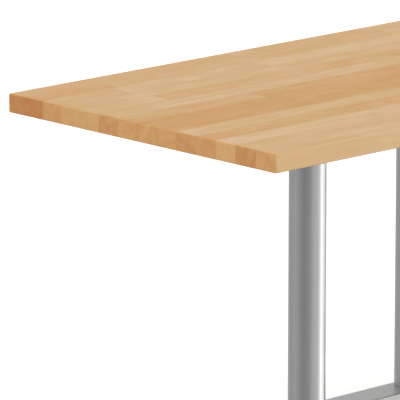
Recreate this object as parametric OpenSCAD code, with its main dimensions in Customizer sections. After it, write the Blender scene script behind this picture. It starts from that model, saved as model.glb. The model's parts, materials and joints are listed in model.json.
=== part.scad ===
// Communal table: a laminated wood top on four round steel columns.
// The columns stand on one low steel beam with two cross-feet and four levelling glides.
// X runs along the table, Y across it, and Z = 0 is the floor.

/* [Tabletop] */
// Length of the top
top_l = 1828.8; // [1700:0.1:2100]
// Width of the top
top_w = 762; // [740:0.1:785]
// Thickness of the top
top_t = 38.1; // [30:0.1:45]
// Width of each full stave, the last stave takes what is left
stave_w = 55; // [54.5:0.1:56]
// Radius of the upright corners of the top
top_corner_r = 4; // [2:0.5:8]

/* [Height] */
// Floor to the upper face of the top
table_h = 762; // [720:0.1:1100]
// Floor to the underside of the cross-feet
foot_lift = 15.875; // [14:0.005:20]

/* [Columns] */
// Outside diameter of each column
column_d = 76.2; // [70:0.1:80]
// Wall of each column
column_wall = 2.1; // [1.5:0.1:3]
// Distance between neighbouring column centres
column_pitch = 304.8; // [295:0.1:340]

/* [Mounting plates] */
// Length of each plate, along the table
plate_l = 558.8; // [450:0.1:575]
// Width of each plate, across the table
plate_w = 355.6; // [320:0.1:400]
// Thickness of each plate
plate_t = 6.35; // [5:0.05:8]
// Distance of each row of plate bolts from the middle of the table
bolt_row_y = 137.5; // [120:0.5:145]

/* [Base] */
// Width and height of the square base beam
beam_size = 76.2; // [74:0.1:90]
// Wall of the base beam
beam_wall = 3.2; // [2.5:0.1:5]
// Outside corner radius of the base beam
beam_corner_r = 4.8; // [4:0.1:8]
// Length of the base beam without its end caps
beam_l = 990.6; // [985:0.1:1200]
// Length of each cross-foot, across the table
foot_l = 660.4; // [560:0.1:720]
// Thickness of each cross-foot
foot_t = 9.525; // [8:0.005:12]

/* [Glides] */
// Diameter of each glide pad where it meets the floor
pad_d = 40; // [30:1:50]
// Height of each glide pad
pad_h = 8; // [7:0.5:8]

/* [Hidden] */
$fn = 96;
// How far a cut runs past the surface that it opens
cut = 1;

// Tabletop
stave_count = 14;
top_z = table_h - top_t;
last_stave_w = top_w - (stave_count - 1) * stave_w;

// Columns, plates and beam, from the floor up
foot_top_z = foot_lift + foot_t;
beam_top_z = foot_top_z + beam_size;
plate_z = top_z - plate_t;
column_l = plate_z - beam_top_z;
column_bore_r = column_d / 2 - column_wall;
column_count = 4;
plate_x = column_pitch;
plate_corner_r = 12;

// Locating rings and discs that centre the columns
locator_gap = 0.1;
locator_t = 9.5;
locator_ring_bore_r = 12.5;

// Tie rods, half-inch
rod_r = 6.35;
rod_hole_r = 6.85;
rod_tip = 1.6;
rod_nut_af = 19.05;
rod_nut_h = 7.9;
rod_weld_nut_h = 11.1;
rod_washer_r = 14;
rod_washer_t = 2.5;
thread_gap = 0.05;
sleeve_r = 11.1;
sleeve_bore_r = 7;

// Plate bolts and threaded inserts, quarter-inch
bolt_r = 3.175;
bolt_af = 11.11;
bolt_head_h = 4.2;
bolt_grip = 13;
bolt_span_x = 508;
bolts_per_row = 4;
plate_washer_r = 9;
plate_washer_t = 1.6;
slot_w = 7.5;
slot_l = 14;
insert_r = 5;
insert_l = 15;
insert_well = 1;

// Foot screws and rivet nuts, quarter-inch
foot_screw_y = 24;
foot_screw_head_r = 6.3;
foot_screw_head_h = 3.6;
foot_screw_l = 22;
foot_screw_hole_r = 3.4;
countersink_start = 0.01;
rivet_nut_r = 4.8;
rivet_nut_l = 15;
rivet_bulge_r = 6.5;
rivet_bulge_h = 3;

// Glides, three-eighths inch
glide_count = 4;
stem_r = 4.7625;
stem_hole_r = 4.85;
stem_af = 14.3;
stem_collar_h = 4.8;
stem_top_z = 38;
stem_seat = 3;
glide_gap = 0.2;
lock_nut_h = 5.6;
pad_rim_h = 4.5;
pad_top_r = 16;
glide_y = foot_l / 2 - beam_size / 2;

// End caps
cap_flange = 3;
cap_spigot = 14;
cap_gap = 0.1;
cap_spigot_wall = 3;

wood = "#D2AE82";
steel = "#A9A9A9";
black_coat = "#1E1E1F";
dark_plastic = "#2B2B2C";
zinc = "#B9BBB8";
brass = "#B8964F";

sides = [1, 2];
side_names = ["left", "right"];

function two_digits(i) = i < 10 ? str("0", i) : str(i);
function numbered(name, count) = [for (i = [1:count]) str(name, "_", i)];
function stave_name(i) = str("stave_", two_digits(i));
function sided(name) = [for (side = side_names) str(name, "_", side)];

// Where things stand
function stave_y(i) = -top_w / 2 + (i - 1) * stave_w;
function stave_width(i) = i < stave_count ? stave_w : last_stave_w;
function column_x(i) = (i - (column_count + 1) / 2) * column_pitch;
function is_outer(i) = i == 1 || i == column_count;
function side_sign(s) = s == 1 ? -1 : 1;
function foot_x(s) = side_sign(s) * column_x(column_count);
function glide_x(i) = foot_x(i <= 2 ? 1 : 2);
function glide_side_y(i) = (i % 2 == 1 ? -1 : 1) * glide_y;
// Lowest face that the nut and washer of a tie rod bear on
function rod_seat_z(i) = is_outer(i) ? foot_lift : foot_top_z;
// Plate bolts of one plate, as offsets from the plate's middle
bolt_step_x = bolt_span_x / (bolts_per_row - 1);
plate_bolt_offsets = [
    for (row = [-1, 1], k = [0:bolts_per_row - 1])
        [k * bolt_step_x - bolt_span_x / 2, row * bolt_row_y]
];
insert_points = [
    for (s = sides, p = plate_bolt_offsets) [side_sign(s) * plate_x + p[0], p[1]]
];

// Flat shapes
module rounded_rect(l, w, r) {
    square([l - 2 * r, w], center = true);
    square([l, w - 2 * r], center = true);
    for (x = [-1, 1], y = [-1, 1])
        translate([x * (l / 2 - r), y * (w / 2 - r)]) circle(r);
}

module slot_across(l, w) {
    square([w, l - w], center = true);
    for (y = [-1, 1])
        translate([0, y * (l - w) / 2]) circle(w / 2);
}

module ring(outer_r, inner_r, h) {
    difference() {
        cylinder(r = outer_r, h = h);
        translate([0, 0, -cut]) cylinder(r = inner_r, h = h + 2 * cut);
    }
}

module hex(across_flats, h) {
    cylinder(r = across_flats / 2 / cos(30), h = h, $fn = 6);
}

module hex_nut(across_flats, bore_r, h) {
    difference() {
        hex(across_flats, h);
        translate([0, 0, -cut]) cylinder(r = bore_r, h = h + 2 * cut);
    }
}

// Tabletop
module stave(i) {
    color(wood)
        difference() {
            translate([0, 0, top_z])
                linear_extrude(top_t)
                    intersection() {
                        rounded_rect(top_l, top_w, top_corner_r);
                        translate([-top_l / 2, stave_y(i)]) square([top_l, stave_width(i)]);
                    }
            for (p = insert_points)
                if (p[1] + insert_r > stave_y(i) && p[1] - insert_r < stave_y(i) + stave_width(i))
                    translate([p[0], p[1], top_z - cut])
                        cylinder(r = insert_r, h = insert_l + insert_well + cut);
        }
}

// Mounting plates and what holds them to the top
module mounting_plate(s) {
    color(black_coat)
        translate([side_sign(s) * plate_x, 0, plate_z])
            difference() {
                linear_extrude(plate_t) rounded_rect(plate_l, plate_w, plate_corner_r);
                for (p = plate_bolt_offsets)
                    translate([p[0], p[1], -cut])
                        linear_extrude(plate_t + 2 * cut) slot_across(slot_l, slot_w);
            }
}

module threaded_inserts() {
    color(brass)
        for (p = insert_points)
            translate([p[0], p[1], top_z]) ring(insert_r, bolt_r + thread_gap, insert_l);
}

module plate_bolts() {
    head_z = plate_z - plate_washer_t - bolt_head_h;
    color(zinc)
        for (p = insert_points)
            translate([p[0], p[1], head_z]) {
                hex(bolt_af, bolt_head_h);
                cylinder(r = bolt_r, h = bolt_head_h + plate_washer_t + plate_t + bolt_grip);
            }
}

module plate_washers() {
    color(zinc)
        for (p = insert_points)
            translate([p[0], p[1], plate_z - plate_washer_t])
                ring(plate_washer_r, bolt_r + thread_gap, plate_washer_t);
}

// Columns and what centres and clamps them
module column(i) {
    color(steel)
        translate([column_x(i), 0, beam_top_z]) ring(column_d / 2, column_bore_r, column_l);
}

module top_locating_ring(i) {
    color(zinc)
        translate([column_x(i), 0, plate_z - locator_t])
            ring(column_bore_r - locator_gap, locator_ring_bore_r, locator_t);
}

module bottom_locating_disc(i) {
    color(zinc)
        translate([column_x(i), 0, beam_top_z])
            ring(column_bore_r - locator_gap, rod_hole_r, locator_t);
}

module tie_rod(i) {
    bottom_z = rod_seat_z(i) - rod_washer_t - rod_nut_h - rod_tip;
    top_gap = 0.5;
    color(zinc)
        translate([column_x(i), 0, bottom_z])
            cylinder(r = rod_r, h = plate_z - top_gap - bottom_z);
}

module spacer_sleeve(i) {
    color(zinc)
        translate([column_x(i), 0, foot_top_z + beam_wall])
            ring(sleeve_r, sleeve_bore_r, beam_size - 2 * beam_wall);
}

module plate_weld_nuts() {
    color(zinc)
        for (i = [1:column_count])
            translate([column_x(i), 0, plate_z - rod_weld_nut_h])
                hex_nut(rod_nut_af, rod_r + thread_gap, rod_weld_nut_h);
}

module tie_rod_washers() {
    color(zinc)
        for (i = [1:column_count])
            translate([column_x(i), 0, rod_seat_z(i) - rod_washer_t])
                ring(rod_washer_r, rod_hole_r, rod_washer_t);
}

module tie_rod_nuts() {
    color(zinc)
        for (i = [1:column_count])
            translate([column_x(i), 0, rod_seat_z(i) - rod_washer_t - rod_nut_h])
                hex_nut(rod_nut_af, rod_r + thread_gap, rod_nut_h);
}

// Base
module base_beam() {
    color(steel)
        difference() {
            translate([-beam_l / 2, 0, foot_top_z + beam_size / 2])
                rotate([90, 0, 90])
                    linear_extrude(beam_l)
                        difference() {
                            rounded_rect(beam_size, beam_size, beam_corner_r);
                            rounded_rect(beam_size - 2 * beam_wall, beam_size - 2 * beam_wall,
                                beam_corner_r - beam_wall);
                        }
            for (i = [1:column_count])
                translate([column_x(i), 0, foot_top_z - cut])
                    cylinder(r = rod_hole_r, h = beam_size + 2 * cut);
            for (s = sides, y = [-1, 1])
                translate([foot_x(s), y * foot_screw_y, foot_top_z - cut])
                    cylinder(r = rivet_nut_r, h = beam_wall + 2 * cut);
        }
}

module beam_end_cap(s) {
    spigot_size = beam_size - 2 * beam_wall - 2 * cap_gap;
    spigot_hollow = spigot_size - 2 * cap_spigot_wall;
    color(dark_plastic)
        translate([side_sign(s) * beam_l / 2, 0, foot_top_z + beam_size / 2])
            rotate([90, 0, side_sign(s) * 90]) {
                linear_extrude(cap_flange) rounded_rect(beam_size, beam_size, beam_corner_r);
                translate([0, 0, -cap_spigot])
                    linear_extrude(cap_spigot)
                        difference() {
                            rounded_rect(spigot_size, spigot_size, beam_corner_r - beam_wall);
                            square(spigot_hollow, center = true);
                        }
            }
}

module cross_foot(s) {
    color(steel)
        translate([foot_x(s), 0, foot_lift])
            difference() {
                linear_extrude(foot_t) slot_across(foot_l, beam_size);
                translate([0, 0, -cut]) cylinder(r = rod_hole_r, h = foot_t + 2 * cut);
                for (y = [-1, 1]) {
                    translate([0, y * glide_y, -cut])
                        cylinder(r = stem_hole_r, h = foot_t + 2 * cut);
                    translate([0, y * foot_screw_y, -cut])
                        cylinder(r = foot_screw_hole_r, h = foot_t + 2 * cut);
                    translate([0, y * foot_screw_y, -countersink_start])
                        cylinder(r1 = foot_screw_head_r, r2 = foot_screw_hole_r, h = foot_screw_head_h);
                }
            }
}

module foot_screws() {
    color(zinc)
        for (s = sides, y = [-1, 1])
            translate([foot_x(s), y * foot_screw_y, foot_lift]) {
                cylinder(r1 = foot_screw_head_r - thread_gap, r2 = bolt_r, h = foot_screw_head_h);
                cylinder(r = bolt_r, h = foot_screw_l);
            }
}

module rivet_nuts() {
    color(zinc)
        for (s = sides, y = [-1, 1])
            translate([foot_x(s), y * foot_screw_y, foot_top_z])
                difference() {
                    union() {
                        cylinder(r = rivet_nut_r, h = rivet_nut_l);
                        translate([0, 0, beam_wall]) cylinder(r = rivet_bulge_r, h = rivet_bulge_h);
                    }
                    translate([0, 0, -cut])
                        cylinder(r = bolt_r + thread_gap, h = rivet_nut_l + 2 * cut);
                }
}

// Levelling glides
module glide_lock_nuts() {
    color(zinc)
        for (i = [1:glide_count])
            translate([glide_x(i), glide_side_y(i), foot_top_z])
                hex_nut(stem_af, stem_hole_r, lock_nut_h);
}

module glide_pad(i) {
    color(dark_plastic)
        translate([glide_x(i), glide_side_y(i), 0])
            difference() {
                union() {
                    cylinder(r = pad_d / 2, h = pad_rim_h);
                    translate([0, 0, pad_rim_h])
                        cylinder(r1 = pad_d / 2, r2 = pad_top_r, h = pad_h - pad_rim_h);
                }
                translate([0, 0, stem_seat]) cylinder(r = stem_hole_r, h = pad_h);
            }
}

module glide_stem(i) {
    seat_z = stem_seat + glide_gap;
    color(zinc)
        translate([glide_x(i), glide_side_y(i), 0]) {
            translate([0, 0, seat_z]) cylinder(r = stem_r, h = stem_top_z - seat_z);
            translate([0, 0, pad_h + glide_gap]) hex(stem_af, stem_collar_h);
        }
}

for (i = [1:stave_count])
    stave(i);
for (s = sides) {
    mounting_plate(s);
    beam_end_cap(s);
    cross_foot(s);
}
for (i = [1:column_count]) {
    column(i);
    top_locating_ring(i);
    bottom_locating_disc(i);
    tie_rod(i);
    spacer_sleeve(i);
}
for (i = [1:glide_count]) {
    glide_pad(i);
    glide_stem(i);
}
threaded_inserts();
plate_bolts();
plate_washers();
plate_weld_nuts();
tie_rod_washers();
tie_rod_nuts();
base_beam();
foot_screws();
rivet_nuts();
glide_lock_nuts();
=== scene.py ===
"""Looks of a communal table: laminated wood top, brushed-steel columns, beam and cross-feet."""

import json
import math
import random

import bmesh
import bpy
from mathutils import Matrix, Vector

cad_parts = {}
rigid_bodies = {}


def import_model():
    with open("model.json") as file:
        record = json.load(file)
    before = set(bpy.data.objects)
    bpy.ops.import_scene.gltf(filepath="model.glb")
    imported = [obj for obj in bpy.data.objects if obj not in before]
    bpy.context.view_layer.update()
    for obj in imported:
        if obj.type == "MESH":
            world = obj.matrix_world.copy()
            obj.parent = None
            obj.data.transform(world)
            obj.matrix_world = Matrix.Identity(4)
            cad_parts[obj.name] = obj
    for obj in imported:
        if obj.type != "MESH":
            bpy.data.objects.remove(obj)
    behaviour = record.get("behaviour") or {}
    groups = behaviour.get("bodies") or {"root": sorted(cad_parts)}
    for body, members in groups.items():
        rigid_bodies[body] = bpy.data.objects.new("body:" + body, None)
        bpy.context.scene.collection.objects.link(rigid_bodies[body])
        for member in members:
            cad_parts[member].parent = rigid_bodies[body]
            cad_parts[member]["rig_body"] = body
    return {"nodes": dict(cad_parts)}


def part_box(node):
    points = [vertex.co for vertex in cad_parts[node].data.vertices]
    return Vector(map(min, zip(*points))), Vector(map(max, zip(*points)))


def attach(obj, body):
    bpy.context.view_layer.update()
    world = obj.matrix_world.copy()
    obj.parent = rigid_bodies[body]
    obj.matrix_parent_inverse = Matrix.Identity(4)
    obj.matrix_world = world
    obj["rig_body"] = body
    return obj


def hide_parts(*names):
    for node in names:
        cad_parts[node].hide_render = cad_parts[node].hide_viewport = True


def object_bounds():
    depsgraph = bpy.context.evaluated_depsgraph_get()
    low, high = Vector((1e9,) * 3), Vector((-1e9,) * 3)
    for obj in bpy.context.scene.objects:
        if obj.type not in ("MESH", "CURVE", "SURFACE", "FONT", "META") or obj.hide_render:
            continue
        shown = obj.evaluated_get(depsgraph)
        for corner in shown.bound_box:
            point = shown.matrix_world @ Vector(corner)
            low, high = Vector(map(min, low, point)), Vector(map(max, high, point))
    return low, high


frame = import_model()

cad_low, cad_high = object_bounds()
rng = random.Random(7)

MM = 0.001
STAVES = 14
COLUMNS = 4
GLIDES = 4

# Where the viewer stands: azimuth 0 looks along +Y, elevation is above the horizon
CAMERA_AZIMUTH = math.radians(-43.232)
CAMERA_ELEVATION = math.radians(13.024)
CAMERA_DISTANCE = 9.9
CAMERA_LENS = 459.95
# How far the viewer sees
CAMERA_REACH = 200.0
# The point looked at, from the top's upper corner nearest the viewer
AIM_FROM_CORNER = Vector((0.1018, 0.3163, -0.1576))

WHITE = (1.0, 1.0, 1.0, 1.0)
# Sockets of the Mix node that hold colours; its other types of socket have the same names
MIX_COLOUR_A = 6
MIX_COLOUR_B = 7
MIX_COLOUR_RESULT = 2


# ---------------------------------------------------------------- shader helpers
def srgb(red, green, blue):
    """Linear RGBA of a display colour given as 0 to 255, by the sRGB curve."""
    def linear(c):
        c /= 255
        return c / 12.92 if c <= 0.04045 else ((c + 0.055) / 1.055) ** 2.4
    return (linear(red), linear(green), linear(blue), 1.0)


class Graph:
    """Short calls that add nodes to one node tree."""

    def __init__(self, tree):
        self.tree = tree

    def put(self, socket, value):
        """Links a socket to another one, or sets its number or colour."""
        if isinstance(value, bpy.types.NodeSocket):
            self.tree.links.new(value, socket)
        else:
            socket.default_value = value

    def node(self, kind, **settings):
        """A new node with these settings."""
        made = self.tree.nodes.new(kind)
        for name, value in settings.items():
            setattr(made, name, value)
        return made

    def math(self, operation, a, b=0.0, c=0.0):
        made = self.node("ShaderNodeMath", operation=operation)
        for socket, value in zip(made.inputs, (a, b, c)):
            self.put(socket, value)
        return made.outputs[0]

    def times(self, value, factor):
        return self.math("MULTIPLY", value, factor)

    def plus(self, base, value, share):
        """base plus a share of value."""
        return self.math("MULTIPLY_ADD", value, share, base)

    def wave(self, value, length):
        """A sine wave, -1 to 1, that repeats over each length of value."""
        return self.math("SINE", self.times(value, 2 * math.pi / length))

    def swing(self, value, amount, centre=1.0):
        """A noise value of 0 to 1 turned into centre plus or minus half the amount."""
        return self.plus(centre, self.math("SUBTRACT", value, 0.5), amount)

    def ease(self, value, low, high, to_low=0.0, to_high=1.0):
        """Smooth step of value from low to high."""
        made = self.node("ShaderNodeMapRange", interpolation_type="SMOOTHSTEP")
        for name, given in (("Value", value), ("From Min", low), ("From Max", high),
                            ("To Min", to_low), ("To Max", to_high)):
            self.put(made.inputs[name], given)
        return made.outputs["Result"]

    def vector(self, operation, a, b=(0, 0, 0)):
        made = self.node("ShaderNodeVectorMath", operation=operation)
        self.put(made.inputs[0], a)
        self.put(made.inputs[1], b)
        return made.outputs["Value" if operation in ("DOT_PRODUCT", "LENGTH") else "Vector"]

    def join(self, x=0.0, y=0.0, z=0.0):
        """A vector of three numbers."""
        made = self.node("ShaderNodeCombineXYZ")
        for socket, value in zip(made.inputs, (x, y, z)):
            self.put(socket, value)
        return made.outputs[0]

    def part(self, vector, axis):
        """One of the parts X, Y and Z of a vector."""
        parts = self.node("ShaderNodeSeparateXYZ")
        self.put(parts.inputs[0], vector)
        return parts.outputs[axis]

    def object_point(self):
        return self.node("ShaderNodeTexCoord").outputs["Object"]

    def facing(self, axis):
        """How squarely the surface faces along an axis, either way, from 0 to 1."""
        normal = self.node("ShaderNodeNewGeometry").outputs["Normal"]
        return self.math("ABSOLUTE", self.part(normal, axis))

    def attribute(self, name, output):
        """What a mesh's faces say under this name."""
        return self.node("ShaderNodeAttribute", attribute_name=name).outputs[output]

    def noise(self, point, scale=1.0, detail=2.0, roughness=0.5, distortion=0.0):
        made = self.node("ShaderNodeTexNoise")
        self.put(made.inputs["Vector"], point)
        self.put(made.inputs["Scale"], scale)
        self.put(made.inputs["Detail"], detail)
        self.put(made.inputs["Roughness"], roughness)
        self.put(made.inputs["Distortion"], distortion)
        return made.outputs["Fac"]

    def stretched_noise(self, point, stretch, **settings):
        """Noise that varies as often in a metre along X, Y and Z as stretch says."""
        return self.noise(self.vector("MULTIPLY", point, stretch), **settings)

    def grey(self, amount):
        """The grey with this much red, green and blue."""
        made = self.node("ShaderNodeCombineColor")
        for socket in made.inputs:
            self.put(socket, amount)
        return made.outputs[0]

    def mix(self, factor, a, b, blend="MIX"):
        made = self.node("ShaderNodeMix", data_type="RGBA", blend_type=blend)
        self.put(made.inputs["Factor"], factor)
        self.put(made.inputs[MIX_COLOUR_A], a)
        self.put(made.inputs[MIX_COLOUR_B], b)
        return made.outputs[MIX_COLOUR_RESULT]

    def scaled(self, colour, amount):
        """Colour times a grey amount."""
        return self.mix(1.0, colour, self.grey(amount), "MULTIPLY")

    def bump(self, height, strength, distance):
        made = self.node("ShaderNodeBump")
        self.put(made.inputs["Strength"], strength)
        self.put(made.inputs["Distance"], distance)
        self.put(made.inputs["Height"], height)
        return made.outputs["Normal"]


def new_material(name, **shader_values):
    """A material, its graph and its main shader, with constants set on the sockets named."""
    material = bpy.data.materials.new(name)
    material.use_nodes = True
    graph = Graph(material.node_tree)
    shader = material.node_tree.nodes["Principled BSDF"]
    for socket, value in shader_values.items():
        shader.inputs[socket.replace("_", " ")].default_value = value
    return material, graph, shader


# ---------------------------------------------------------------- wood
PALE_WOOD = srgb(217, 182, 143)
MID_WOOD = srgb(210, 168, 117)
ORANGE_WOOD = srgb(205, 150, 88)
KHAKI_TINT = (0.95, 0.985, 0.87, 1.0)
FLECK_WOOD = srgb(150, 100, 60)
# A paler colour painted on the long upright sides, as painted light
SIDE_PAINTED_LIGHT = srgb(228, 198, 170)
END_PALE = srgb(221, 174, 114)
END_DARK = srgb(199, 133, 78)
END_LINE = srgb(130, 80, 42)
GLUE_LINE = srgb(120, 80, 48)

# The tones between which each colour turns into the next, pale to mid to orange
PALE_TO_MID = (-0.15, 0.55)
MID_TO_ORANGE = (0.45, 1.15)
END_PALE_TO_DARK = (-0.2, 1.2)

# A stretch is how often a pattern varies in a metre along X, Y and Z. The patterns that move the
# tone of the long grain are each a stretch, detail, distortion and swing
TONE_PATTERNS = (((5, 19, 19), 3, 1.4, 0.5),
                 ((7, 11, 11), 2, 0.8, 0.8),
                 ((22, 60, 60), 2, 1.0, 0.5),
                 ((1.1, 90, 60), 2, 0.4, 0.1))
STREAK_STRETCH = (5, 330, 330)
HUE_STRETCH = (3.5, 14, 14)
FLECK_STRETCH = (120, 1300, 1300)
PORE_STRETCH = (1, 1500, 1500)
BLOTCH_STRETCH = (1, 40, 26)

# Growth rings, the wider bands of colour that follow them, and how far both stray from true
RING_WIDTH = 0.0038
FLAME_WIDTH = 0.015
RING_WOBBLE = 0.004
LONG_WOBBLE_STRETCH = (4, 30, 30)
END_WOBBLE_STRETCH = (1, 55, 55)
ACROSS_FIBRES = (0, 1, 1)
# On the end grain: bands of rings in a metre, rays in a radian, and breaks along a ray in a metre
RING_BANDS = 70
RAYS = 95
RAY_BREAKS = 60

# How squarely a face looks along X where end grain starts and is whole, and along Y where the painted
# light on the long sides starts and is whole
END_FACE = (0.2, 0.8)
SIDE_LIGHT_FACE = (0.3, 0.9)
SIDE_PAINTED_LIGHT_SHARE = 0.24
# How far from a joint the glue line starts to fade and is gone, and how squarely a face looks
# along Y where it does
GLUE_REACH = (0.00008, 0.0004)
GLUE_FACE = (0.2, 0.5)
GLUE_DARKNESS = 0.45
FLECK_DARKNESS = 0.22
FLECK_DEPTH = 0.6
RAY_DARKNESS = 0.1
PORE_DARKNESS = 0.1


def ring_radius(graph, from_pith, wobble_stretch):
    """Distance from the heart of the tree, a little wavy."""
    wobble = graph.stretched_noise(from_pith, wobble_stretch, detail=2)
    distance = graph.vector("LENGTH", graph.vector("MULTIPLY", from_pith, ACROSS_FIBRES))
    return graph.plus(distance, wobble, share=RING_WOBBLE)


def long_grain(graph, point, shift):
    """Colour and relief along the fibres: streaks, growth rings, broad figure and flecks."""
    moved = graph.vector("ADD", point, shift)
    streak = graph.stretched_noise(moved, STREAK_STRETCH, detail=5, roughness=0.65)
    hue = graph.stretched_noise(moved, HUE_STRETCH, detail=2, distortion=0.8)
    flecks = graph.ease(graph.stretched_noise(moved, FLECK_STRETCH, detail=1), low=0.66, high=0.74)

    x = graph.part(point, "X")
    lean = graph.vector("MULTIPLY", graph.attribute("lean", "Vector"), graph.join(x, x, x))
    from_pith = graph.vector("SUBTRACT", point, graph.attribute("pith", "Vector"))
    from_pith = graph.vector("SUBTRACT", from_pith, lean)
    radius = ring_radius(graph, from_pith, LONG_WOBBLE_STRETCH)

    tone = graph.attribute("tone", "Fac")
    for stretch, detail, distortion, amount in TONE_PATTERNS:
        pattern = graph.stretched_noise(moved, stretch, detail=detail, distortion=distortion)
        tone = graph.swing(pattern, amount, tone)
    tone = graph.plus(tone, graph.wave(radius, RING_WIDTH), share=0.05)
    tone = graph.plus(tone, graph.wave(radius, FLAME_WIDTH), share=0.07)

    pale_to_mid = graph.mix(graph.ease(tone, *PALE_TO_MID), PALE_WOOD, MID_WOOD)
    colour = graph.mix(graph.ease(tone, *MID_TO_ORANGE), pale_to_mid, ORANGE_WOOD)
    tinted = graph.mix(1.0, colour, KHAKI_TINT, "MULTIPLY")
    colour = graph.mix(graph.ease(hue, low=0.42, high=0.62), colour, tinted)
    colour = graph.scaled(colour, graph.swing(streak, amount=0.11))
    colour = graph.mix(graph.times(flecks, FLECK_DARKNESS), colour, FLECK_WOOD)
    return colour, graph.math("SUBTRACT", streak, graph.times(flecks, FLECK_DEPTH))


def end_grain(graph, point):
    """Colour and relief of the cut ends: growth rings, rays and pores."""
    from_pith = graph.vector("SUBTRACT", point, graph.attribute("pith", "Vector"))
    flat = graph.vector("MULTIPLY", from_pith, ACROSS_FIBRES)
    radius = ring_radius(graph, flat, END_WOBBLE_STRETCH)
    ring_band = graph.noise(graph.join(graph.times(radius, RING_BANDS)), detail=2)
    angle = graph.math("ARCTAN2", graph.part(flat, "Y"), graph.part(flat, "Z"))
    fan = graph.join(graph.times(angle, RAYS), graph.times(radius, RAY_BREAKS))
    ray = graph.ease(graph.noise(fan, detail=2), low=0.58, high=0.72)
    pore = graph.stretched_noise(flat, PORE_STRETCH, detail=1)
    blotch = graph.stretched_noise(flat, BLOTCH_STRETCH, detail=3, distortion=0.8)

    tone = graph.plus(graph.attribute("end_tone", "Fac"), graph.wave(radius, RING_WIDTH), share=0.09)
    tone = graph.swing(ring_band, amount=0.8, centre=tone)
    tone = graph.swing(blotch, amount=0.9, centre=tone)
    colour = graph.mix(graph.ease(tone, *END_PALE_TO_DARK), END_PALE, END_DARK)
    pore_line = graph.times(graph.ease(pore, low=0.6, high=0.75), PORE_DARKNESS)
    line = graph.plus(pore_line, ray, share=RAY_DARKNESS)
    return graph.mix(line, colour, END_LINE), pore


def glue_line(graph, point):
    """How much the glue shows: most where two staves meet, and not on the long edges."""
    off_middle = graph.math("SUBTRACT", graph.part(point, "Y"), graph.attribute("mid_y", "Fac"))
    off_middle = graph.math("ABSOLUTE", off_middle)
    to_glue = graph.math("SUBTRACT", graph.attribute("half_width", "Fac"), off_middle)
    glue = graph.ease(to_glue, *GLUE_REACH, to_low=GLUE_DARKNESS, to_high=0.0)
    return graph.times(glue, graph.ease(graph.facing("Y"), *GLUE_FACE, to_low=1.0, to_high=0.0))


def laminated_wood():
    """Glued staves of light hardwood, end grain where the surface turns across the fibres."""
    material, graph, shader = new_material("laminated_wood", Coat_Weight=0.06, Coat_Roughness=0.35,
                                           Specular_IOR_Level=0.15)
    point = graph.object_point()
    side_colour, side_relief = long_grain(graph, point, graph.attribute("grain_shift", "Vector"))
    end_colour, end_relief = end_grain(graph, point)

    across_fibres = graph.ease(graph.facing("X"), *END_FACE)
    painted_side_light = graph.ease(graph.facing("Y"), *SIDE_LIGHT_FACE)
    # Painted light: the long upright sides are mixed toward a paler colour
    side_colour = graph.mix(graph.times(painted_side_light, SIDE_PAINTED_LIGHT_SHARE), side_colour, SIDE_PAINTED_LIGHT)
    colour = graph.mix(across_fibres, side_colour, end_colour)
    graph.put(shader.inputs["Base Color"], graph.mix(glue_line(graph, point), colour, GLUE_LINE))

    relief = graph.plus(side_relief, across_fibres, graph.math("SUBTRACT", end_relief, side_relief))
    rough = graph.plus(base=0.42, value=relief, share=0.14)
    graph.put(shader.inputs["Roughness"], graph.plus(rough, across_fibres, share=0.08))
    graph.put(shader.inputs["Normal"], graph.bump(relief, strength=0.12, distance=0.0003))
    return material


# ---------------------------------------------------------------- metals, paint and plastics
STEEL = (0.6, 0.6, 0.595, 1.0)
ZINC_DULL = (0.5, 0.52, 0.53, 1)
ZINC_BRIGHT = (0.68, 0.68, 0.64, 1)
BRASS_DARK = (0.62, 0.46, 0.2, 1)
BRASS_PALE = (0.78, 0.62, 0.32, 1)
COAT_DARK = (0.012, 0.012, 0.013, 1)
COAT_PALE = (0.022, 0.022, 0.023, 1)
COAT_WORN = (0.09, 0.09, 0.09, 1)
CAP_DARK = (0.02, 0.02, 0.021, 1)
CAP_PALE = (0.04, 0.04, 0.041, 1)
PAD_DARK = (0.025, 0.025, 0.025, 1)
PAD_PALE = (0.055, 0.055, 0.053, 1)


def brushed_steel(name, stretch, roughness, tangent=None, turn=0.0, upright_painted_shade_share=1.0):
    """Satin stainless steel; stretch scales the brush marks along X, Y and Z.

    Upright faces have their colour painted darker, to the share given last, as painted shade.
    """
    material, graph, shader = new_material(name, Metallic=1.0)
    point = graph.object_point()
    marks = graph.stretched_noise(point, stretch, detail=4, roughness=0.7)
    clouds = graph.noise(point, scale=9, detail=2)
    smudge = graph.noise(point, scale=26, detail=3, distortion=0.5)
    light = graph.swing(clouds, amount=0.06, centre=graph.swing(marks, amount=0.16))
    # Painted shade: upright faces get a darker colour than the top
    if upright_painted_shade_share < 1.0:
        painted_upright_shade = graph.ease(graph.facing("Z"), low=0.3, high=0.8, to_low=upright_painted_shade_share)
        light = graph.times(light, painted_upright_shade)
    graph.put(shader.inputs["Base Color"], graph.scaled(STEEL, light))
    rough = graph.plus(roughness, marks, share=0.07)
    graph.put(shader.inputs["Roughness"], graph.plus(rough, smudge, share=0.05))
    graph.put(shader.inputs["Normal"], graph.bump(marks, strength=0.04, distance=0.0001))
    if tangent:
        shader.inputs["Anisotropic"].default_value = 0.6
        shader.inputs["Anisotropic Rotation"].default_value = turn
        around = graph.node("ShaderNodeTangent", direction_type="RADIAL", axis=tangent)
        graph.put(shader.inputs["Tangent"], around.outputs[0])
    return material


def zinc_plate():
    """Bright zinc on the fixings, a little blotchy."""
    material, graph, shader = new_material("zinc_plate", Metallic=1.0)
    blotch = graph.noise(graph.object_point(), scale=240, detail=3)
    fine = graph.noise(graph.object_point(), scale=1800, detail=1)
    graph.put(shader.inputs["Base Color"], graph.mix(blotch, ZINC_DULL, ZINC_BRIGHT))
    graph.put(shader.inputs["Roughness"], graph.plus(base=0.2, value=blotch, share=0.25))
    graph.put(shader.inputs["Normal"], graph.bump(fine, strength=0.08, distance=0.0001))
    return material


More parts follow.
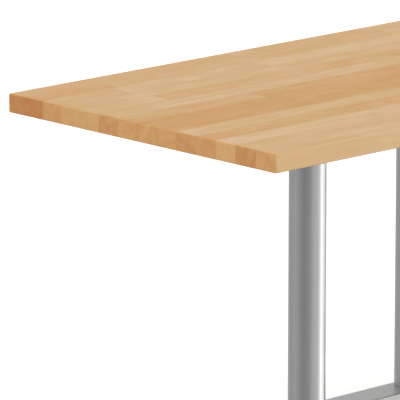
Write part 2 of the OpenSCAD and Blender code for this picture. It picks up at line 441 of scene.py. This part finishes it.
def turned_brass():
    """Brass with the fine rings that turning leaves."""
    material, graph, shader = new_material("turned_brass", Metallic=1.0)
    turning = graph.stretched_noise(graph.object_point(), stretch=(60, 60, 2500), detail=2)
    graph.put(shader.inputs["Base Color"], graph.mix(turning, BRASS_DARK, BRASS_PALE))
    graph.put(shader.inputs["Roughness"], graph.plus(base=0.22, value=turning, share=0.15))
    return material


def powder_coat():
    """Fine-textured black powder coat on the mounting plates, rubbed a little at the edges."""
    material, graph, shader = new_material("black_powder_coat")
    grain = graph.noise(graph.object_point(), scale=1400, detail=2)
    cloud = graph.noise(graph.object_point(), scale=14, detail=3)
    edge = graph.node("ShaderNodeNewGeometry").outputs["Pointiness"]
    rubbed = graph.ease(edge, low=0.52, high=0.6)
    worn = graph.times(rubbed, graph.ease(cloud, low=0.45, high=0.6))
    coat = graph.mix(cloud, COAT_DARK, COAT_PALE)
    graph.put(shader.inputs["Base Color"], graph.mix(worn, coat, COAT_WORN))
    graph.put(shader.inputs["Roughness"], graph.plus(base=0.5, value=grain, share=0.2))
    graph.put(shader.inputs["Normal"], graph.bump(grain, strength=0.25, distance=0.0002))
    return material


def moulded_plastic(name, dark, pale, texture):
    """Matt moulded plastic with a fine spark-eroded texture."""
    material, graph, shader = new_material(name)
    grain = graph.noise(graph.object_point(), scale=texture, detail=2)
    scuff = graph.stretched_noise(graph.object_point(), stretch=(90, 90, 25), detail=3)
    colour = graph.mix(graph.ease(scuff, low=0.4, high=0.75), dark, pale)
    graph.put(shader.inputs["Base Color"], colour)
    graph.put(shader.inputs["Roughness"], graph.plus(base=0.48, value=grain, share=0.2))
    graph.put(shader.inputs["Normal"], graph.bump(grain, strength=0.2, distance=0.0002))
    return material


WOOD = laminated_wood()
COLUMN_STEEL = brushed_steel("steel_brushed_round", stretch=(14, 14, 2600), roughness=0.15,
                             tangent="Z", turn=0.25)
# The beam's upright sides carry painted shade in their colour
BEAM_STEEL = brushed_steel("steel_brushed_along_x", stretch=(9, 1000, 1000), roughness=0.27,
                           upright_painted_shade_share=0.62)
FOOT_STEEL = brushed_steel("steel_brushed_along_y", stretch=(1000, 9, 1000), roughness=0.27)
ZINC = zinc_plate()
BRASS = turned_brass()
POWDER = powder_coat()
CAP_PLASTIC = moulded_plastic("cap_plastic", CAP_DARK, CAP_PALE, texture=1600)
PAD_NYLON = moulded_plastic("pad_nylon", PAD_DARK, PAD_PALE, texture=1100)


# ---------------------------------------------------------------- mesh helpers
# Angles between two faces: below FLAT they are one, below SMOOTH their shading runs on, above
# SHARP a CAD node's edge is rounded, and above RIM a stave's is
FLAT_BELOW = math.radians(0.5)
SMOOTH_BELOW = math.radians(35)
SHARP_ABOVE = math.radians(30)
RIM_ABOVE = math.radians(60)
# Points closer than this are at the same place
TINY = 0.00001
TUBE_FACETS = 144


def finish_piece(name, bm, material, node):
    """Turns a bmesh into a piece that stands for a CAD node and rides on the node's body."""
    bmesh.ops.recalc_face_normals(bm, faces=bm.faces)
    for edge in bm.edges:
        edge.smooth = len(edge.link_faces) == 2 and edge.calc_face_angle(0.0) < SMOOTH_BELOW
    for face in bm.faces:
        face.smooth = True
    mesh = bpy.data.meshes.new(name)
    bm.to_mesh(mesh)
    bm.free()
    piece = bpy.data.objects.new(name, mesh)
    bpy.context.scene.collection.objects.link(piece)
    mesh.materials.append(material)
    weighted = piece.modifiers.new("flat_faces", "WEIGHTED_NORMAL")
    weighted.keep_sharp = True
    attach(piece, frame["nodes"][node]["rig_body"])
    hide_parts(node)


def sharp_edges(bm, least_angle):
    return [edge for edge in bm.edges
            if len(edge.link_faces) == 2 and edge.calc_face_angle(0.0) > least_angle]


def softened(node, material, width):
    """A CAD node's shape with its sharp edges rounded off."""
    bm = bmesh.new()
    bm.from_mesh(frame["nodes"][node].data)
    bmesh.ops.remove_doubles(bm, verts=bm.verts, dist=TINY)
    bmesh.ops.dissolve_limit(bm, angle_limit=FLAT_BELOW, verts=bm.verts, edges=bm.edges)
    bmesh.ops.bevel(bm, geom=sharp_edges(bm, SHARP_ABOVE), offset=width, segments=2, profile=0.5,
                    affect="EDGES", clamp_overlap=True)
    finish_piece(node + "_finished", bm, material, node)


def lathe(name, outline, centre, material, node):
    """A closed (radius, height) outline turned round an upright axis."""
    bm = bmesh.new()
    rings = []
    for step in range(TUBE_FACETS):
        angle = 2 * math.pi * step / TUBE_FACETS
        rings.append([bm.verts.new((centre.x + radius * math.cos(angle),
                                    centre.y + radius * math.sin(angle), height))
                      for radius, height in outline])
    for step, here in enumerate(rings):
        there = rings[(step + 1) % TUBE_FACETS]
        for j in range(len(outline)):
            after = (j + 1) % len(outline)
            bm.faces.new((here[j], there[j], there[after], here[after]))
    finish_piece(name, bm, material, node)


# ---------------------------------------------------------------- the wood top
# Tone of each stave from pale (0) to orange (1), first block then the others, near edge first
FIRST_TONES = (0.36, 0.4, 0.14, 0.72, 0.36, 0.88, 0.95, 0.66, 0.3, 0.3, 0.42, 0.5, 0.78, 0.6)
STAVE_TONES = (0.5, 0.36, 0.2, 0.66, 0.4, 0.8, 0.9, 0.76, 0.38, 0.72, 0.34, 0.2, 0.46, 0.5)
TONE_SPREAD = 0.12
# Tone of each stave's cut end, from pale (0) to dark (1)
END_TONES = (0.3, 0.65, 0.0, 0.4, 0.5, 0.35, 0.3, 0.28, 0.5, 0.08, 0.12, 0.35, 1.0, 0.9)
# Length of each stave's first block, the range of the others, and the least that may be left over
FIRST_BLOCK_MM = (400, 560, 410, 480, 620, 700, 470, 350, 840, 190, 130, 185, 200, 590)
BLOCK_RANGE_MM = (280, 640)
SHORTEST_BLOCK_MM = 110
# How far a block's grain is moved, so that no two blocks look alike
GRAIN_SHIFT = 9
# How far the heart of the tree lies beside a block's middle, how far above or below it, and how
# much it leans each way, in metres
HEART_ASIDE = (0.01, 0.05)
HEART_ABOVE = (0.03, 0.09)
HEART_LEAN_ASIDE = 0.05
HEART_LEAN_UP = 0.03
EDGE_RADIUS = 2.5 * MM
EDGE_STEPS = 4
CORNER_RADIUS = 4 * MM
CORNER_STEPS = 5
# Which number of a point is X, and which is Z
X = 0
Z = 2


def block_ends(index, low_x, high_x):
    """Where one block meets the next along a stave."""
    ends, x = [], low_x + FIRST_BLOCK_MM[index] * MM
    while x < high_x - SHORTEST_BLOCK_MM * MM:
        ends.append(x)
        x += rng.uniform(*BLOCK_RANGE_MM) * MM
    return ends


def heart_line(centre):
    """Where the heart of the tree would be, outside a block round centre."""
    across = rng.choice((-1, 1)) * rng.uniform(*HEART_ASIDE)
    above = rng.choice((-1, 1)) * rng.uniform(*HEART_ABOVE)
    return Vector((0, centre.y + across, centre.z + above))


def heart_lean():
    """How far the heart of the tree drifts from a block's fibres for each metre along them."""
    return Vector((0, rng.uniform(-HEART_LEAN_ASIDE, HEART_LEAN_ASIDE),
                   rng.uniform(-HEART_LEAN_UP, HEART_LEAN_UP)))


def box_mesh(low, high):
    """A bmesh box from its lowest to its highest corner."""
    size, centre = high - low, (low + high) / 2
    bm = bmesh.new()
    bmesh.ops.create_cube(bm, size=1.0)
    for vert in bm.verts:
        vert.co = centre + Vector(vert.co[axis] * size[axis] for axis in range(3))
    return bm


def runs_along(edge, axis):
    start, end = (vert.co for vert in edge.verts)
    return abs(start[axis] - end[axis]) > TINY


def lies_at_y(edge, y):
    return all(abs(vert.co.y - y) < TINY for vert in edge.verts)


def round_outer_edges(bm, low, high, outer_y):
    """Rounds a stave where the table ends, and leaves its edges at the glue lines sharp."""
    if outer_y is not None:
        upright = [edge for edge in bm.edges if runs_along(edge, Z) and lies_at_y(edge, outer_y)]
        bmesh.ops.bevel(bm, geom=upright, offset=CORNER_RADIUS, segments=CORNER_STEPS, profile=0.5,
                        affect="EDGES")
    glue_y = [y for y in (low.y, high.y) if y != outer_y]
    rim = [edge for edge in sharp_edges(bm, RIM_ABOVE) if not runs_along(edge, Z)]
    rim = [edge for edge in rim
           if not (runs_along(edge, X) and any(lies_at_y(edge, y) for y in glue_y))]
    bmesh.ops.bevel(bm, geom=rim, offset=EDGE_RADIUS, segments=EDGE_STEPS, profile=0.5, affect="EDGES")


def mark_blocks(bm, index, ends, centre, width):
    """Writes on each face what the wood material needs to know about its block."""
    blocks = len(ends) + 1
    tones = [FIRST_TONES[index]] + [STAVE_TONES[index] + rng.uniform(-TONE_SPREAD, TONE_SPREAD)
                                    for _ in range(blocks - 1)]
    shifts = [Vector(rng.uniform(-GRAIN_SHIFT, GRAIN_SHIFT) for _ in range(3)) for _ in range(blocks)]
    hearts = [heart_line(centre) for _ in range(blocks)]
    leans = [heart_lean() for _ in range(blocks)]

    floats = {name: bm.faces.layers.float.new(name)
              for name in ("tone", "end_tone", "mid_y", "half_width")}
    vectors = {name: bm.faces.layers.float_vector.new(name)
               for name in ("grain_shift", "pith", "lean")}
    for face in bm.faces:
        x = face.calc_center_median().x
        block = sum(x > end for end in ends)
        face[floats["tone"]] = tones[block]
        face[floats["end_tone"]] = END_TONES[index]
        face[floats["mid_y"]] = centre.y
        face[floats["half_width"]] = width / 2
        face[vectors["grain_shift"]] = shifts[block]
        face[vectors["pith"]] = hearts[block]
        face[vectors["lean"]] = leans[block]


def stave(index):
    """One stave: a row of end-jointed blocks with the table's outer edges rounded."""
    node = f"stave_{index + 1:02d}"
    low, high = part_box(node)
    bm = box_mesh(low, high)
    round_outer_edges(bm, low, high, outer_y={0: low.y, STAVES - 1: high.y}.get(index))
    ends = block_ends(index, low.x, high.x)
    for x in ends:
        bmesh.ops.bisect_plane(bm, geom=bm.verts[:] + bm.edges[:] + bm.faces[:],
                               plane_co=(x, 0, 0), plane_no=(1, 0, 0))
    mark_blocks(bm, index, ends, centre=(low + high) / 2, width=high.y - low.y)
    finish_piece(f"stave_{index + 1:02d}_blocks", bm, WOOD, node)


for stave_index in range(STAVES):
    stave(stave_index)


# ---------------------------------------------------------------- columns and base
TUBE_WALL = 2.1 * MM
TUBE_BREAK = 0.5 * MM


def column(number):
    """A round tube with its cut ends deburred."""
    node = f"column_{number}"
    low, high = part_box(node)
    outer = (high.x - low.x) / 2
    inner = outer - TUBE_WALL
    outline = [(outer - TUBE_BREAK, low.z), (outer, low.z + TUBE_BREAK),
               (outer, high.z - TUBE_BREAK), (outer - TUBE_BREAK, high.z),
               (inner + TUBE_BREAK, high.z), (inner, high.z - TUBE_BREAK),
               (inner, low.z + TUBE_BREAK), (inner + TUBE_BREAK, low.z)]
    lathe(f"column_{number}_tube", outline, (low + high) / 2, COLUMN_STEEL, node)


for column_number in range(1, COLUMNS + 1):
    column(column_number)

softened("base_beam", BEAM_STEEL, width=0.3 * MM)
for side in ("left", "right"):
    softened(f"mounting_plate_{side}", POWDER, width=0.8 * MM)
    softened(f"beam_end_cap_{side}", CAP_PLASTIC, width=0.6 * MM)
    softened(f"cross_foot_{side}", FOOT_STEEL, width=1.0 * MM)
for fixing in ("plate_bolts", "plate_washers", "tie_rod_washers", "tie_rod_nuts", "glide_lock_nuts"):
    softened(fixing, ZINC, width=0.35 * MM)
for glide in range(1, GLIDES + 1):
    softened(f"glide_pad_{glide}", PAD_NYLON, width=0.6 * MM)
    softened(f"glide_stem_{glide}", ZINC, width=0.4 * MM)

# The CAD nodes that no piece stands for are fixings, which keep their shapes
for node_name, cad_node in frame["nodes"].items():
    if not cad_node.hide_render:
        cad_node.data.materials.clear()
        cad_node.data.materials.append(BRASS if node_name == "threaded_inserts" else ZINC)


# ---------------------------------------------------------------- studio
FLOOR_HALF_SIZE = 60.0
FLOOR_GREY = (0.84, 0.84, 0.84, 1)
FLOOR_GLOW = 0.38

# How bright the room looks in the metal: degrees round from the viewer to the right, brightness
ROOM = ((-180, 0.57), (-145, 0.52), (-118, 0.45), (-100, 0.48), (-78, 0.51), (-55, 0.42),
        (-25, 0.31), (-5, 0.33), (12, 0.38), (38, 0.61), (62, 0.7), (74, 0.85), (85, 1.25),
        (96, 2.0), (107, 1.55), (117, 1.22), (131, 1.42), (148, 1.3), (160, 0.62), (180, 0.57))
BRIGHTEST = 2.0
# What the metal shows above and below instead, and the heights where that starts and is whole;
# a height is the sine of the elevation
CEILING = 0.95
STEEP = (0.45, 0.8)

# Soft light on everything: from the ground, from the sky, and how much less from overhead
GROUND_LIGHT = 0.4
SKY_LIGHT = 1.3
OVERHEAD_LOSS = 0.6
# The heights over which ground turns into sky, and over which the overhead loss comes in
HORIZON = (-0.3, 0.02)
OVERHEAD = (0.5, 0.9)
# The broad lamp that lights the near side: how far round from the viewer to the right, the
# cosines from it where its light starts and is whole, and how much light it adds
LAMP_ANGLE = math.radians(65)
LAMP_SPREAD = (-0.1, 0.9)
LAMP_LIGHT = 0.22


def floor():
    """A large pale floor that glows a little, as a lit studio sweep does."""
    bm = bmesh.new()
    bmesh.ops.create_grid(bm, x_segments=1, y_segments=1, size=FLOOR_HALF_SIZE)
    mesh = bpy.data.meshes.new("floor")
    bm.to_mesh(mesh)
    bm.free()
    made = bpy.data.objects.new("floor", mesh)
    bpy.context.scene.collection.objects.link(made)
    material, _, _ = new_material("pale_floor", Roughness=0.9, Base_Color=FLOOR_GREY,
                                  Emission_Color=WHITE, Emission_Strength=FLOOR_GLOW,
                                  Specular_IOR_Level=0.0)
    mesh.materials.append(material)
    made.visible_glossy = False
    made.visible_diffuse = False


def room_in_metal(graph, angle, height):
    """What gloss shows: upright panels of light all round, and an even ceiling and floor."""
    panels = graph.node("ShaderNodeValToRGB")
    # Half a turn either way is the whole of the ramp
    graph.put(panels.inputs["Fac"], graph.plus(base=0.5, value=angle, share=0.5 / math.pi))
    stops = panels.color_ramp.elements
    while len(stops) < len(ROOM):
        stops.new(1.0)
    for stop, (degrees, brightness) in zip(stops, ROOM):
        stop.position = degrees / 360 + 0.5
        share = brightness / BRIGHTEST
        stop.color = (share, share, share, 1.0)
    room = graph.times(panels.outputs["Color"], BRIGHTEST)
    steep = graph.ease(graph.math("ABSOLUTE", height), *STEEP)
    overhead = graph.times(steep, graph.math("SUBTRACT", CEILING, room))
    return graph.math("ADD", room, overhead)


def studio():
    """Soft light from all round, with upright panels of light that only gloss shows."""
    world = bpy.data.worlds.new("studio")
    bpy.context.scene.world = world
    world.use_nodes = True
    world.node_tree.nodes.clear()
    graph = Graph(world.node_tree)
    direction = graph.node("ShaderNodeTexCoord").outputs["Generated"]
    height = graph.part(direction, "Z")
    to_viewer = Vector((math.sin(CAMERA_AZIMUTH), -math.cos(CAMERA_AZIMUTH), 0))
    to_right = Vector((-to_viewer.y, to_viewer.x, 0))
    angle = graph.math("ARCTAN2", graph.vector("DOT_PRODUCT", direction, to_right),
                       graph.vector("DOT_PRODUCT", direction, to_viewer))
    reflected = room_in_metal(graph, angle, height)

    lamp = to_viewer * math.cos(LAMP_ANGLE) + to_right * math.sin(LAMP_ANGLE)
    from_lamp = graph.ease(graph.vector("DOT_PRODUCT", direction, lamp), *LAMP_SPREAD)
    sky = graph.ease(height, *HORIZON, to_low=GROUND_LIGHT, to_high=SKY_LIGHT)
    soft = graph.math("ADD", sky, graph.ease(height, *OVERHEAD, to_high=-OVERHEAD_LOSS))
    soft = graph.plus(soft, from_lamp, share=LAMP_LIGHT)

    light_path = graph.node("ShaderNodeLightPath")
    mixed = graph.mix(light_path.outputs["Is Glossy Ray"], graph.grey(soft), graph.grey(reflected))
    seen = graph.mix(light_path.outputs["Is Camera Ray"], mixed, WHITE)
    background = graph.node("ShaderNodeBackground")
    graph.put(background.inputs["Color"], seen)
    out = graph.node("ShaderNodeOutputWorld")
    graph.put(out.inputs["Surface"], background.outputs[0])


def camera():
    """The viewer, looking slightly down at one end of the table."""
    near_corner = Vector((cad_low.x, cad_low.y, cad_high.z))
    aim = near_corner + AIM_FROM_CORNER
    back = Vector((math.sin(CAMERA_AZIMUTH) * math.cos(CAMERA_ELEVATION),
                   -math.cos(CAMERA_AZIMUTH) * math.cos(CAMERA_ELEVATION),
                   math.sin(CAMERA_ELEVATION)))
    data = bpy.data.cameras.new("viewer")
    data.lens = CAMERA_LENS
    data.clip_end = CAMERA_REACH
    made = bpy.data.objects.new("viewer", data)
    bpy.context.scene.collection.objects.link(made)
    made.location = aim + back * CAMERA_DISTANCE
    made.rotation_euler = (-back).to_track_quat("-Z", "Y").to_euler()
    bpy.context.scene.camera = made


floor()
studio()
camera()
bpy.context.scene.view_settings.view_transform = "Standard"
